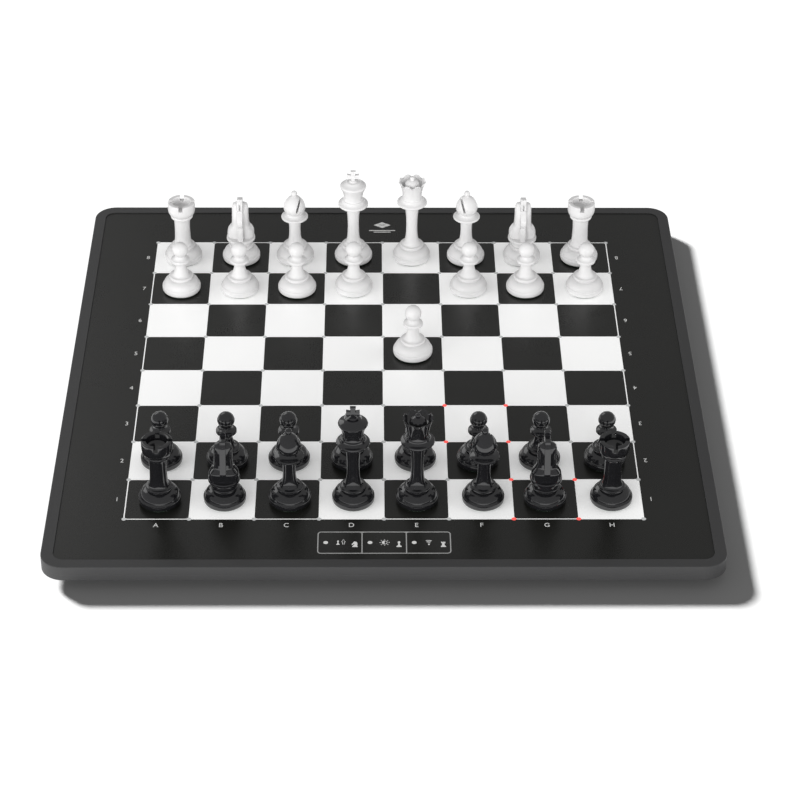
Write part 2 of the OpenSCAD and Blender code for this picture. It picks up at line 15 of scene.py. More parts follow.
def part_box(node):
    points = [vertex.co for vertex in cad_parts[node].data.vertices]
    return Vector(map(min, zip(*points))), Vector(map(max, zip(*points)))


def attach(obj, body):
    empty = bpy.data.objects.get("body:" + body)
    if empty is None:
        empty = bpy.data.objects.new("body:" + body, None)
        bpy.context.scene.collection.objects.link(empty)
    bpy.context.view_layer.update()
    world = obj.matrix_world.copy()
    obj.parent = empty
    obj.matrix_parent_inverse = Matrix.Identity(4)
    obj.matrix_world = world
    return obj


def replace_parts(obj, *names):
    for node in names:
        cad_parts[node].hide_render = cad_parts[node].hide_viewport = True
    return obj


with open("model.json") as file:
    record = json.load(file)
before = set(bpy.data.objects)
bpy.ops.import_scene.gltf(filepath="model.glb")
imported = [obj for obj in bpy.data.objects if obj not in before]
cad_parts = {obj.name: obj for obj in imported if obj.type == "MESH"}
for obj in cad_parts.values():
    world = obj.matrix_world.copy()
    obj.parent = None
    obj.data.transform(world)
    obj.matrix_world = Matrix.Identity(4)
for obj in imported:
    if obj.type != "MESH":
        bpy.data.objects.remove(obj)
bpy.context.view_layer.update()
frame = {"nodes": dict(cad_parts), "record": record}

MM = 0.001


# ---------------------------------------------------------------------------------------------
# Sizes that come from the CAD frame
# ---------------------------------------------------------------------------------------------

def node_box(node):
    """Lowest and highest corner of a CAD node at rest, in millimetres."""
    low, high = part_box(node)
    return np.array(low, float) / MM, np.array(high, float) / MM


PANEL_TOP = float(node_box("play_panel")[1][2])
PANEL_HALF = float(node_box("play_panel")[1][0])
SQUARE = (PANEL_HALF * 2 - 0.1) / 10
PIECE_FOOT = PANEL_TOP + 0.03
STRIP_LOW, STRIP_HIGH = node_box("key_trim")
STRIP_Y = float(STRIP_LOW[1] + STRIP_HIGH[1]) / 2


def field(file, rank):
    """Middle of a field in millimetres, file 0 to 7 for A to H, rank 1 to 8."""
    return (file - 3.5) * SQUARE, (rank - 4.5) * SQUARE


# ---------------------------------------------------------------------------------------------
# Finishes
# ---------------------------------------------------------------------------------------------

def node(tree, kind, inputs=None, **attributes):
    """Adds a shader node; inputs hold values, or sockets that are linked."""
    made = tree.nodes.new(kind)
    for key, value in attributes.items():
        setattr(made, key, value)
    for key, value in (inputs or {}).items():
        socket = made.inputs[key]
        if isinstance(value, bpy.types.NodeSocket):
            tree.links.new(value, socket)
        else:
            socket.default_value = value
    return made


def blend(tree, factor, low, high):
    """A colour between low and high, by factor."""
    mix = node(tree, "ShaderNodeMix", data_type="RGBA")
    for socket, value in zip((mix.inputs[0], mix.inputs[6], mix.inputs[7]), (factor, low, high)):
        if isinstance(value, bpy.types.NodeSocket):
            tree.links.new(value, socket)
        elif np.ndim(value):
            socket.default_value = (*value[:3], 1.0)
        else:
            socket.default_value = value
    return mix.outputs[2]


def spread(tree, value, low, high, out_low, out_high):
    """Maps a value's range low..high onto out_low..out_high, clamped."""
    return node(tree, "ShaderNodeMapRange", {
        "Value": value, "From Min": low, "From Max": high,
        "To Min": out_low, "To Max": out_high}).outputs[0]


def start(name):
    """A fresh material with its node tree, shader and object coordinates."""
    material = bpy.data.materials.new(name)
    material.use_nodes = True
    tree = material.node_tree
    shader = tree.nodes["Principled BSDF"]
    coords = node(tree, "ShaderNodeTexCoord").outputs["Object"]
    return material, tree, shader, coords


def noise(tree, coords, size_mm, detail=3.0, roughness=0.55):
    """Noise whose features are size_mm across."""
    return node(tree, "ShaderNodeTexNoise", {
        "Vector": coords, "Scale": 1000.0 / size_mm, "Detail": detail, "Roughness": roughness,
    }).outputs["Fac"]


def moulded(name, colour, rough, grain_mm=0.45, relief_mm=0.02, mottle=0.06, swing=0.06,
            edge_mm=0.0, painted_edge_highlight=0.0, values=None):
    """Moulded plastic or rubber.

    Colour drifts by mottle over a few centimetres. Roughness is rough plus or minus swing, from
    the same drift and the grain. The grain is a fine noise of grain_mm, raised by relief_mm. With
    edge_mm the corners are rounded in the normals, and painted_edge_highlight is how much the
    colour there is painted lighter, as a painted highlight. values are further shader values by
    socket name.
    """
    material, tree, shader, coords = start(name)
    fine = noise(tree, coords, grain_mm, 2.0)
    broad = noise(tree, coords, 38.0, 4.0)
    base = np.array(colour)
    tint = blend(tree, spread(tree, broad, 0.3, 0.7, 0.0, 1.0), base * (1 - mottle),
                 np.minimum(base * (1 + mottle), 1.0))
    bump = {"Strength": 1.0, "Distance": relief_mm * MM, "Height": fine}
    if edge_mm:
        rounded = node(tree, "ShaderNodeBevel", {"Radius": edge_mm * MM}, samples=4).outputs[0]
        bump["Normal"] = rounded
        if painted_edge_highlight:
            # Painted highlight: where the rounded normal turns away from the flat one, the colour
            # is painted lighter, as if light caught the edge
            flat = node(tree, "ShaderNodeNewGeometry").outputs["Normal"]
            facing = node(tree, "ShaderNodeVectorMath", {0: rounded, 1: flat},
                          operation="DOT_PRODUCT").outputs["Value"]
            edge_highlight_mask = spread(tree, facing, 0.99, 0.80, 0.0, painted_edge_highlight)
            tint = blend(tree, edge_highlight_mask, tint, np.minimum(base * 2.2 + 0.04, 1.0))
    both = node(tree, "ShaderNodeMath", {0: fine, 1: broad}, operation="ADD").outputs[0]
    tree.links.new(tint, shader.inputs["Base Color"])
    tree.links.new(spread(tree, both, 0.7, 1.3, rough - swing, rough + swing),
                   shader.inputs["Roughness"])
    tree.links.new(node(tree, "ShaderNodeBump", bump).outputs[0], shader.inputs["Normal"])
    for key, value in (values or {}).items():
        shader.inputs[key].default_value = value
    return material


def piece_plastic(name, colour, rough, values=None):
    """Polished piece plastic: very faint flow marks, hairline scratches and a soft waviness.

    values are further shader values by socket name."""
    material, tree, shader, coords = start(name)
    base = np.array(colour)
    broad = noise(tree, coords, 14.0, 3.0)
    stretched = node(tree, "ShaderNodeMapping", {"Vector": coords, "Scale": (1.0, 1.0, 9.0)})
    hair = noise(tree, stretched.outputs[0], 1.4, 4.0, 0.7)
    tint = blend(tree, spread(tree, broad, 0.3, 0.7, 0.0, 1.0), base * 0.97,
                 np.minimum(base * 1.02, 1.0))
    scratched = spread(tree, hair, 0.55, 0.75, 0.0, 1.0)
    polish = node(tree, "ShaderNodeMath", {0: scratched, 1: 0.07, 2: rough},
                  operation="MULTIPLY_ADD").outputs[0]
    waves = node(tree, "ShaderNodeBump", {
        "Strength": 0.6, "Distance": 0.02 * MM, "Height": noise(tree, coords, 2.2, 1.0)})
    tree.links.new(tint, shader.inputs["Base Color"])
    tree.links.new(polish, shader.inputs["Roughness"])
    tree.links.new(waves.outputs[0], shader.inputs["Normal"])
    for key, value in (values or {}).items():
        shader.inputs[key].default_value = value
    return material


def circuit_board(name):
    """Green board: copper runs in steps under the mask, bare pads and silk-screen speckle."""
    material, tree, shader, coords = start(name)
    runs = node(tree, "ShaderNodeTexVoronoi", {"Vector": coords, "Scale": 260.0},
                distance="MANHATTAN", feature="F1")
    step = node(tree, "ShaderNodeMath", {0: runs.outputs["Distance"], 1: 5.0},
                operation="MULTIPLY")
    lines = node(tree, "ShaderNodeMath", {0: step.outputs[0]}, operation="FRACT").outputs[0]
    copper = spread(tree, lines, 0.42, 0.5, 0.0, 1.0)
    mask = blend(tree, copper, (0.008, 0.085, 0.035), (0.02, 0.17, 0.07))
    pads = spread(tree, noise(tree, coords, 2.4, 0.0), 0.70, 0.72, 0.0, 1.0)
    tree.links.new(blend(tree, pads, mask, (0.72, 0.70, 0.62)), shader.inputs["Base Color"])
    tree.links.new(pads, shader.inputs["Metallic"])
    tree.links.new(spread(tree, copper, 0.0, 1.0, 0.28, 0.36), shader.inputs["Roughness"])
    tree.links.new(node(tree, "ShaderNodeBump", {
        "Strength": 0.7, "Distance": 0.04 * MM, "Height": copper}).outputs[0],
        shader.inputs["Normal"])
    return material


def plated(name, colour, rough):
    """Plated metal with fine drawn lines and dull patches."""
    material, tree, shader, coords = start(name)
    base = np.array(colour)
    drawn = node(tree, "ShaderNodeMapping", {"Vector": coords, "Scale": (0.06, 1.0, 1.0)})
    lines = noise(tree, drawn.outputs[0], 0.25, 2.0)
    dull = noise(tree, coords, 6.0, 3.0)
    tree.links.new(blend(tree, dull, base * 0.8, np.minimum(base * 1.1, 1.0)),
                   shader.inputs["Base Color"])
    tree.links.new(spread(tree, dull, 0.3, 0.7, rough - 0.08, rough + 0.1),
                   shader.inputs["Roughness"])
    tree.links.new(node(tree, "ShaderNodeBump", {
        "Strength": 0.5, "Distance": 0.02 * MM, "Height": lines}).outputs[0],
        shader.inputs["Normal"])
    shader.inputs["Metallic"].default_value = 1.0
    return material


def felt(name, colour):
    """Pressed felt: matted fibres in two directions, with sheen."""
    material, tree, shader, coords = start(name)
    base = np.array(colour)
    along = node(tree, "ShaderNodeMapping", {"Vector": coords, "Scale": (1.0, 0.2, 1.0)})
    across = node(tree, "ShaderNodeMapping", {"Vector": coords, "Scale": (0.2, 1.0, 1.0)})
    fibres = node(tree, "ShaderNodeMath", {
        0: noise(tree, along.outputs[0], 0.3, 3.0), 1: noise(tree, across.outputs[0], 0.3, 3.0)},
        operation="MAXIMUM").outputs[0]
    tree.links.new(blend(tree, spread(tree, fibres, 0.4, 0.75, 0.0, 1.0), base * 0.5, base * 1.5),
                   shader.inputs["Base Color"])
    tree.links.new(node(tree, "ShaderNodeBump", {
        "Strength": 1.0, "Distance": 0.15 * MM, "Height": fibres}).outputs[0],
        shader.inputs["Normal"])
    shader.inputs["Roughness"].default_value = 0.95
    shader.inputs["Sheen Weight"].default_value = 0.4
    return material


finish = {
    "shell": moulded("shell_plastic", (0.034, 0.034, 0.0345), 0.48, 0.5, 0.03, 0.05, 0.05,
                     edge_mm=0.25, painted_edge_highlight=0.35),
    "panel": moulded("panel_gloss", (0.0100, 0.0100, 0.0088), 0.30, 0.6, 0.006, 0.05, 0.05,
                     values={"Specular IOR Level": 0.42}),
    # Painted glow: the light fields' film gets a faint white emission that makes it brighter than
    # its lighting gives; the film is no lamp
    "light_fields": moulded("field_film_painted_glow", (0.93, 0.93, 0.925), 0.38, 0.5, 0.008, 0.012, 0.05,
                            values={"Emission Color": (1.0, 1.0, 1.0, 1.0),
                                    "Emission Strength": 0.15}),
    "dot_clear": moulded("lens_clear", (0.62, 0.63, 0.63), 0.25, 0.3, 0.01, 0.03, 0.05),
    "dot_lit": moulded("lens_lit", (0.80, 0.09, 0.08), 0.25, 0.3, 0.01, 0.05, 0.05,
                       values={"Emission Color": (1.0, 0.10, 0.08, 1.0),
                               "Emission Strength": 0.55}),
    "inner_black": moulded("spacer_plastic", (0.02, 0.02, 0.02), 0.55, 0.6, 0.03),
    "circuit_board": circuit_board("board_mask"),
    "chip": moulded("chip_resin", (0.018, 0.018, 0.02), 0.5, 0.2, 0.02, 0.08),
    "led": moulded("lamp_resin", (0.86, 0.82, 0.66), 0.25, 0.3, 0.01),
    "plated_metal": plated("plated_steel", (0.60, 0.60, 0.62), 0.32),
    "cell_wrap": moulded("cell_foil", (0.36, 0.40, 0.45), 0.35, 2.5, 0.06, 0.1),
    "wire": moulded("wire_skin", (0.42, 0.03, 0.03), 0.4, 0.3, 0.01),
    "ribbon": moulded("ribbon_film", (0.70, 0.69, 0.64), 0.35, 0.6, 0.02),
    "knob": moulded("knob_plastic", (0.03, 0.03, 0.03), 0.42, 0.4, 0.03, edge_mm=0.15,
                    painted_edge_highlight=0.4),
    "trim": moulded("trim_plastic", (0.36, 0.36, 0.355), 0.4, 0.4, 0.01, 0.03),
    "key_cap": moulded("key_gloss", (0.0100, 0.0100, 0.0088), 0.30, 0.6, 0.006, 0.05, 0.05,
                       edge_mm=0.12, painted_edge_highlight=0.2),
    "foot_rubber": moulded("foot_rubber", (0.018, 0.018, 0.018), 0.78, 0.35, 0.05, 0.15),
    "white_piece": piece_plastic("piece_white", (0.66, 0.655, 0.655), 0.28),
    "black_piece": piece_plastic("piece_black", (0.007, 0.007, 0.008), 0.08,
                                 {"Specular IOR Level": 1.0}),
    "print": moulded("print_ink", (0.70, 0.70, 0.69), 0.45, 0.25, 0.004, 0.03),
    "felt": felt("piece_felt", (0.02, 0.06, 0.03)),
}

for entry in frame["record"]["subparts"]:
    part = frame["nodes"][entry["node"]]
    for place in range(max(1, len(part.data.materials))):
        if place < len(part.data.materials):
            part.data.materials[place] = finish[entry["material_slot"]]
        else:
            part.data.materials.append(finish[entry["material_slot"]])


# ---------------------------------------------------------------------------------------------
# Mesh building
# ---------------------------------------------------------------------------------------------

def shell_join(shells):
    """Several closed shells, each (points, faces), as one list of points and faces."""
    points, faces, offset = [], [], 0
    for shell_points, shell_faces in shells:
        points.append(np.asarray(shell_points, float))
        faces.extend([tuple(int(i) + offset for i in f) for f in shell_faces])
        offset += len(shell_points)
    return np.concatenate(points), faces


def add_piece(name, shells, body, slot, place=(0.0, 0.0, 0.0), turned=False, sharp_deg=38.0,
              smooth=True):
    """Makes an object at the origin from shells in millimetres, moved to place, and half turned
    about the upright axis if turned. It rides on body and takes the finish of slot."""
    points, faces = shell_join(shells)
    if turned:
        points = points * (-1.0, -1.0, 1.0)
    points = (points + np.array(place, float)) * MM
    mesh = bpy.data.meshes.new(name)
    mesh.from_pydata(points.tolist(), [], faces)
    mesh.update()
    mesh.validate()
    if smooth:
        mesh.polygons.foreach_set("use_smooth", np.ones(len(mesh.polygons), bool))
        mesh.set_sharp_from_angle(angle=math.radians(sharp_deg))
    mesh.materials.append(finish[slot])
    made = bpy.data.objects.new(name, mesh)
    bpy.context.scene.collection.objects.link(made)
    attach(made, body)
    return made



def bend(a, b, c, count=14):
    """Quadratic curve from a to c, pulled towards b."""
    t = np.linspace(0.0, 1.0, count + 1)[:, None]
    a, b, c = (np.array(p, float) for p in (a, b, c))
    return (1 - t) ** 2 * a + 2 * t * (1 - t) * b + t ** 2 * c


def arc(centre, radius, start_deg, end_deg, count=24):
    """Part of a circle from start_deg to end_deg."""
    a = np.radians(np.linspace(start_deg, end_deg, count + 1))
    return np.array(centre, float) + radius * np.stack([np.cos(a), np.sin(a)], 1)


def softened(points, soft=0.08, finest=0.04, spacing=1.6, turn_deg=12.0):
    """Rounds an open outline's corners and gives it points where it bends.

    The outline is walked in equal steps of finest, each coordinate is averaged with a bell curve
    of width soft, and points are then kept at equal steps of length / spacing plus turning /
    turn_deg. Its two ends stay where they are."""
    points = np.asarray(points, float)
    step = np.hypot(*np.diff(points, axis=0).T)
    keep = np.concatenate([[True], step > 1e-6])
    points = points[keep]
    walked = np.concatenate([[0.0], np.cumsum(np.hypot(*np.diff(points, axis=0).T))])
    count = int(walked[-1] / finest) + 2
    even = np.linspace(0.0, walked[-1], count)
    track = np.stack([np.interp(even, walked, points[:, k]) for k in (0, 1)], 1)
    reach = int(3 * soft / finest) + 1
    bell = np.exp(-0.5 * (np.arange(-reach, reach + 1) * finest / soft) ** 2)
    bell /= bell.sum()
    padded = np.concatenate([2 * track[0] - track[reach:0:-1], track,
                             2 * track[-1] - track[-2:-reach - 2:-1]])
    track = np.stack([np.convolve(padded[:, k], bell, "valid") for k in (0, 1)], 1)
    track[0], track[-1] = points[0], points[-1]
    d = np.diff(track, axis=0)
    length = np.hypot(*d.T)
    heading = np.unwrap(np.arctan2(d[:, 1], d[:, 0]))
    turning = np.concatenate([[0.0], np.abs(np.diff(heading))])
    worth = np.concatenate([[0.0], np.cumsum(length / spacing + np.degrees(turning) / turn_deg)])
    wanted = np.linspace(0.0, worth[-1], int(worth[-1]) + 2)
    place = np.interp(wanted, worth, np.arange(len(track)))
    return np.stack([np.interp(place, np.arange(len(track)), track[:, k]) for k in (0, 1)], 1)


def round_angles(columns):
    """Equal steps round the axis."""
    return np.arange(columns) * 2 * math.pi / columns


def tube_faces(rows, columns):
    """Faces of a closed tube whose points run row after row, each row once round.

    Two further points follow the rows: the first closes the first row and the second the last."""
    i = np.arange(rows - 1)[:, None]
    j = np.arange(columns)[None, :]
    k = (j + 1) % columns
    quads = np.stack([i * columns + j, i * columns + k, (i + 1) * columns + k,
                      (i + 1) * columns + j], 2).reshape(-1, 4)
    j, k = np.arange(columns), (np.arange(columns) + 1) % columns
    first = np.stack([k, j, np.full(columns, rows * columns)], 1)
    last = (rows - 1) * columns
    final = np.stack([last + j, last + k, np.full(columns, rows * columns + 1)], 1)
    return [*map(tuple, quads), *map(tuple, first), *map(tuple, final)]


def turned_shell(profile, angles, radius=None, height=None):
    """A profile of (radius, height) carried round the upright axis.

    The first and last profile points lie on the axis and become single points. angles may be one
    row, or a row for each profile point. radius and height may replace the profile's own values,
    as arrays of profile point by angle."""
    inner = profile[1:-1]
    rows = len(inner)
    angles = np.broadcast_to(angles, (rows, np.shape(angles)[-1])) if np.ndim(angles) == 1 \
        else angles[1:-1]
    r = np.broadcast_to(inner[:, :1], angles.shape) if radius is None else radius[1:-1]
    z = np.broadcast_to(inner[:, 1:], angles.shape) if height is None else height[1:-1]
    ring = np.stack([r * np.cos(angles), r * np.sin(angles), z], 2).reshape(-1, 3)
    low = [0.0, 0.0, profile[0, 1]]
    high = [0.0, 0.0, profile[-1, 1] if height is None else float(height[-1, 0])]
    return np.concatenate([ring, [low, high]]), tube_faces(rows, angles.shape[1])


def section_shell(centres, along, across, half_along, half_across, columns=40, power=2.4):
    """A tube of super-ellipse sections, closed by a point at each end.

    Section k is centred at centres[k] and spans half_along[k] in direction along[k] and
    half_across[k] in direction across[k]; power 2 is an ellipse and more is squarer. power may be
    one number or a column with one for each section."""
    t = round_angles(columns)[None, :]
    c, s = np.cos(t), np.sin(t)
    sx = (np.sign(c) * np.abs(c) ** (2 / power) * np.asarray(half_along)[:, None])[:, :, None]
    sy = (np.sign(s) * np.abs(s) ** (2 / power) * np.asarray(half_across)[:, None])[:, :, None]
    centres, along, across = (np.asarray(a, float) for a in (centres, along, across))
    body = centres[:, None] + along[:, None] * sx + across[:, None] * sy
    points = np.concatenate([body.reshape(-1, 3), centres[:1], centres[-1:]])
    return points, tube_faces(len(centres), columns)


def outward(outline):
    """Unit normals of a closed anticlockwise outline, at its points."""
    ahead = np.roll(outline, -1, axis=0) - outline
    behind = outline - np.roll(outline, 1, axis=0)
    d = ahead / np.hypot(*ahead.T)[:, None] + behind / np.hypot(*behind.T)[:, None]
    d /= np.maximum(np.hypot(*d.T), 1e-9)[:, None]
    return np.stack([d[:, 1], -d[:, 0]], 1)


def anticlockwise(outline):
    """The same outline, run anticlockwise."""
    x, y = outline.T
    area = np.sum(x * np.roll(y, -1) - np.roll(x, -1) * y)
    return outline if area > 0 else outline[::-1]


def rounded_plate(outline, low, high, edge, steps=3):
    """A flat plate with rounded rims, in outline x, outline y and thickness.

    The outline is carried from low to high; near each face it draws in along a quarter circle of
    radius edge. Each face is closed by one polygon."""
    outline = anticlockwise(np.asarray(outline, float))
    normals = outward(outline)
    a = np.linspace(0.0, math.pi / 2, steps + 1)
    inset = edge * (1 - np.sin(a))
    rise = edge * (1 - np.cos(a))
    if edge <= 0:
        levels, insets = [low, high], [0.0, 0.0]
    else:
        levels = [*(low + rise), *(high - rise)[::-1]]
        insets = [*inset, *inset[::-1]]
    n = len(outline)
    points = np.concatenate([np.column_stack([outline - normals * s, np.full(n, z)])
                             for z, s in zip(levels, insets)])
    i = np.arange(len(levels) - 1)[:, None]
    j = np.arange(n)[None, :]
    k = (j + 1) % n
    quads = np.stack([i * n + j, i * n + k, (i + 1) * n + k, (i + 1) * n + j], 2).reshape(-1, 4)
    top = (len(levels) - 1) * n
    return points, [*map(tuple, quads), tuple(range(n))[::-1], tuple(range(top, top + n))]


# ---------------------------------------------------------------------------------------------
# Chess pieces, in millimetres, standing at the origin and facing the near side
# ---------------------------------------------------------------------------------------------

BASE_R = 11.9

foot_outline = np.concatenate([
    [[0.0, 0.6]],
    bend([BASE_R - 1.6, 0.6], [BASE_R, 0.6], [BASE_R, 2.4]),
    bend([BASE_R, 3.6], [BASE_R, 4.5], [BASE_R - 0.7, 4.8]),
    bend([BASE_R - 0.8, 4.9], [10.5, 8.1], [7.3, 8.9]),
    [[6.7, 9.05], [6.7, 9.35], [7.4, 9.7], [7.5, 10.8], [7.1, 11.25], [6.3, 11.3]]])

tall_stem = np.concatenate([
    bend([5.7, 11.5], [3.9, 13.5], [3.6, 20.0]),
    bend([3.5, 24.0], [3.5, 31.0], [4.2, 36.5])])

king_top = np.concatenate([
    bend([4.3, 37.0], [4.5, 39.2], [8.9, 39.5]),
    [[9.4, 40.0], [9.4, 40.9]],
    bend([9.1, 41.3], [7.2, 41.7], [6.8, 43.0]),
    [[6.7, 43.5], [6.0, 43.8]],
    bend([5.85, 44.3], [5.6, 48.4], [8.2, 52.8]),
    [[8.35, 53.3], [8.1, 53.9]],
    bend([7.7, 54.3], [5.0, 55.2], [4.4, 56.1]),
    [[3.9, 56.4], [2.5, 56.6]],
    bend([2.3, 56.8], [2.0, 57.6], [0.0, 57.8])])

queen_top = np.concatenate([
    bend([4.3, 37.8], [4.5, 40.2], [8.9, 40.5]),
    [[9.4, 41.0], [9.4, 41.8]],
    bend([9.1, 42.2], [7.1, 42.6], [6.7, 43.8]),
    [[6.6, 44.3], [6.1, 44.6]],
    bend([6.0, 45.2], [5.9, 50.6], [8.5, 56.6], 20),
    [[8.2, 56.9], [7.7, 56.6]],
    bend([7.2, 55.6], [6.0, 53.4], [4.9, 53.4]),
    bend([4.8, 53.8], [4.2, 57.0], [1.3, 57.5]),
    arc([0.0, 58.4], 1.5, -28, 90)])

bishop_top = np.concatenate([
    bend([5.7, 11.5], [3.9, 13.5], [3.65, 19.0]),
    bend([3.6, 20.0], [3.5, 25.0], [3.9, 28.0]),
    bend([4.0, 28.4], [4.2, 30.1], [7.9, 30.4]),
    [[8.4, 30.8], [8.4, 31.5]],
    bend([8.0, 31.9], [5.6, 32.2], [4.9, 33.3]),
    bend([4.5, 33.7], [7.9, 36.5], [6.5, 40.2], 20),
    bend([6.35, 40.7], [5.0, 44.6], [1.6, 46.1], 16),
    arc([0.0, 47.8], 1.95, -48, 90)])

rook_top = np.concatenate([
    bend([5.9, 11.5], [5.1, 13.0], [4.95, 17.0]),
    bend([4.85, 20.0], [4.7, 25.0], [5.0, 29.0]),
    bend([5.1, 29.5], [5.2, 30.8], [6.6, 31.1]),
    [[6.9, 31.5], [6.9, 32.3], [6.6, 32.7]],
    bend([6.65, 33.0], [8.55, 34.2], [8.55, 37.4]),
    [[8.55, 41.8], [8.25, 42.1], [6.1, 42.1], [5.8, 41.8], [5.7, 38.6]],
    bend([5.6, 37.8], [4.6, 36.6], [0.0, 36.6])])

pawn_top = np.concatenate([
    bend([5.6, 11.5], [4.3, 12.6], [3.45, 17.2]),
    bend([3.4, 18.0], [3.3, 20.4], [5.3, 20.9]),
    [[5.9, 21.3], [5.9, 22.6]],
    bend([5.7, 22.9], [3.6, 23.2], [3.0, 25.0]),
    arc([0.0, 29.3], 4.93, -52, 90, 40)])

knight_stand = np.concatenate([
    bend([6.4, 11.5], [5.8, 13.4], [7.4, 14.5]),
    [[8.7, 14.9], [9.0, 15.3], [9.0, 16.4], [8.7, 16.8], [0.0, 16.9]]])


def outline_of(*upper):
    """Foot and upper parts as one softened profile, ending on the axis."""
    whole = np.concatenate([foot_outline, *upper])
    if whole[-1, 0] > 1e-6:
        whole = np.concatenate([whole, [[0.0, whole[-1, 1]]]])
    whole[-1, 0] = 0.0
    return softened(whole)


def king_shells():
    """Turned body, and a cross with flared arms that is a plate with rounded rims."""
    half = np.array([[1.1, 58.9], [3.75, 58.5], [3.75, 61.7], [1.3, 61.3], [1.6, 64.1]])
    cross = np.concatenate([[[1.0, 57.0]], half, (half * (-1, 1))[::-1], [[-1.0, 57.0]]])
    points, faces = rounded_plate(cross, -1.1, 1.1, 0.28)
    upright = np.column_stack([points[:, 0], -points[:, 2], points[:, 1]])
    return [turned_shell(outline_of(tall_stem, king_top), round_angles(80)), (upright, faces)]


def queen_shells():
    """Turned body whose crown is lowered where eight round gaps cross it.

    Outside radius 5.2 a point no higher than the gap's centre line is lowered to the gap's round
    bottom: centre height less the root of gap radius squared minus sideways distance squared."""
    profile = outline_of(tall_stem, queen_top)
    angles = round_angles(192)
    r = np.broadcast_to(profile[:, :1], (len(profile), len(angles)))
    z = np.broadcast_to(profile[:, 1:], (len(profile), len(angles)))
    sector = np.mod(angles + math.pi / 8, math.pi / 4) - math.pi / 8
    sideways = np.abs(r * np.sin(sector)[None, :])
    gap_r, gap_z, crown_r, crown_z = 1.9, 57.3, 5.2, 50.0
    bottom = gap_z - np.sqrt(np.maximum(gap_r ** 2 - sideways ** 2, 0.0))
    crown = (r > crown_r) & (z > crown_z) & (sideways < gap_r)
    z = np.where(crown, np.minimum(z, bottom), z)
    return [turned_shell(profile, angles, r, z)]


def rook_shells():
    """Turned body whose rim is lowered to 39.2 where four straight gaps, 2.5 wide, cross it.

    A pair of columns stands at each gap's wall; their angle grows towards the axis as the arc
    sine of half width over radius, so that the walls stay parallel."""
    profile = outline_of(rook_top)
    half_gap, gap_floor, rim_r = 1.25, 39.2, 8.55
    wall = math.asin(half_gap / rim_r)
    beyond = np.linspace(wall, math.pi / 2 - wall, 15)
    within = np.linspace(-wall, wall, 5)
    hair = 0.002
    quarter = np.concatenate([within, beyond])
    in_gap = np.concatenate([np.ones(5, bool), np.zeros(15, bool)])
    u = np.concatenate([quarter + q * math.pi / 2 for q in range(4)])
    gap = np.tile(in_gap, 4)
    local = np.mod(u + math.pi / 4, math.pi / 2) - math.pi / 4
    quarter_turn = u - local
    rim_zone = np.arange(len(profile)) > np.argmax(profile[:, 1] > 35.0)
    w = np.where(rim_zone, np.arcsin(np.clip(half_gap / np.maximum(profile[:, 0], 0.01), 0, 0.5)),
                 wall)[:, None]
    side = np.abs(local)[None, :]
    moved = np.where(side <= wall + 1e-9, side * w / wall,
                     w + (side - wall) * (math.pi / 4 - w) / (math.pi / 4 - wall))
    moved = moved + np.where(gap, -hair, hair)[None, :] * (np.abs(side - wall) < 1e-6)
    angles = np.sign(local)[None, :] * moved + quarter_turn[None, :]
    r = np.broadcast_to(profile[:, :1], angles.shape)
    z = np.broadcast_to(profile[:, 1:], angles.shape)
    z = np.where(gap[None, :] & (r > 3.0) & (z > gap_floor), gap_floor, z)
    return [turned_shell(profile, angles, r, z)]


def bishop_shells(side):
    """Turned body with a slanting saw cut in the near half of its mitre; the cut leans to the
    right when side is 1 and to the left when it is -1."""
    cut_width, cut_low, cut_shift, cut_lean = 1.3, 37.4, 1.3 * side, math.radians(17.0 * side)
    points, faces = turned_shell(outline_of(bishop_top), round_angles(96))
    body_mesh = bpy.data.meshes.new("bishop_blank")
    body_mesh.from_pydata(points.tolist(), [], faces)
    blade_mesh = bpy.data.meshes.new("saw_blade")
    x, y, z = np.array([(x, y, z) for x in (-cut_width / 2, cut_width / 2)
                        for y in (-8.0, 0.0) for z in (0.0, 12.0)]).T
    c, s = math.cos(cut_lean), math.sin(cut_lean)
    slanted = np.column_stack([x * c + z * s + cut_shift, y, -x * s + z * c + cut_low])
    blade_mesh.from_pydata(slanted.tolist(), [], [
        (0, 1, 3, 2), (4, 6, 7, 5), (0, 4, 5, 1), (2, 3, 7, 6), (0, 2, 6, 4), (1, 5, 7, 3)])
    made = [bpy.data.objects.new(m.name, m) for m in (body_mesh, blade_mesh)]
    for item in made:
        bpy.context.scene.collection.objects.link(item)
    cut = made[0].modifiers.new("cut", "BOOLEAN")
    cut.operation, cut.object, cut.solver = "DIFFERENCE", made[1], "EXACT"
    graph = bpy.context.evaluated_depsgraph_get()
    result = bpy.data.meshes.new_from_object(made[0].evaluated_get(graph))
    shell = (np.array([v.co[:] for v in result.vertices]),
             [tuple(p.vertices) for p in result.polygons])
    for item in made:
        bpy.data.objects.remove(item)
    for mesh in (body_mesh, blade_mesh, result):
        bpy.data.meshes.remove(mesh)
    return [shell]


def pawn_shells():
    """Turned body only."""
    return [turned_shell(outline_of(pawn_top), round_angles(72))]


PLATE_HALF, SLOT_HALF = 1.7, 0.5

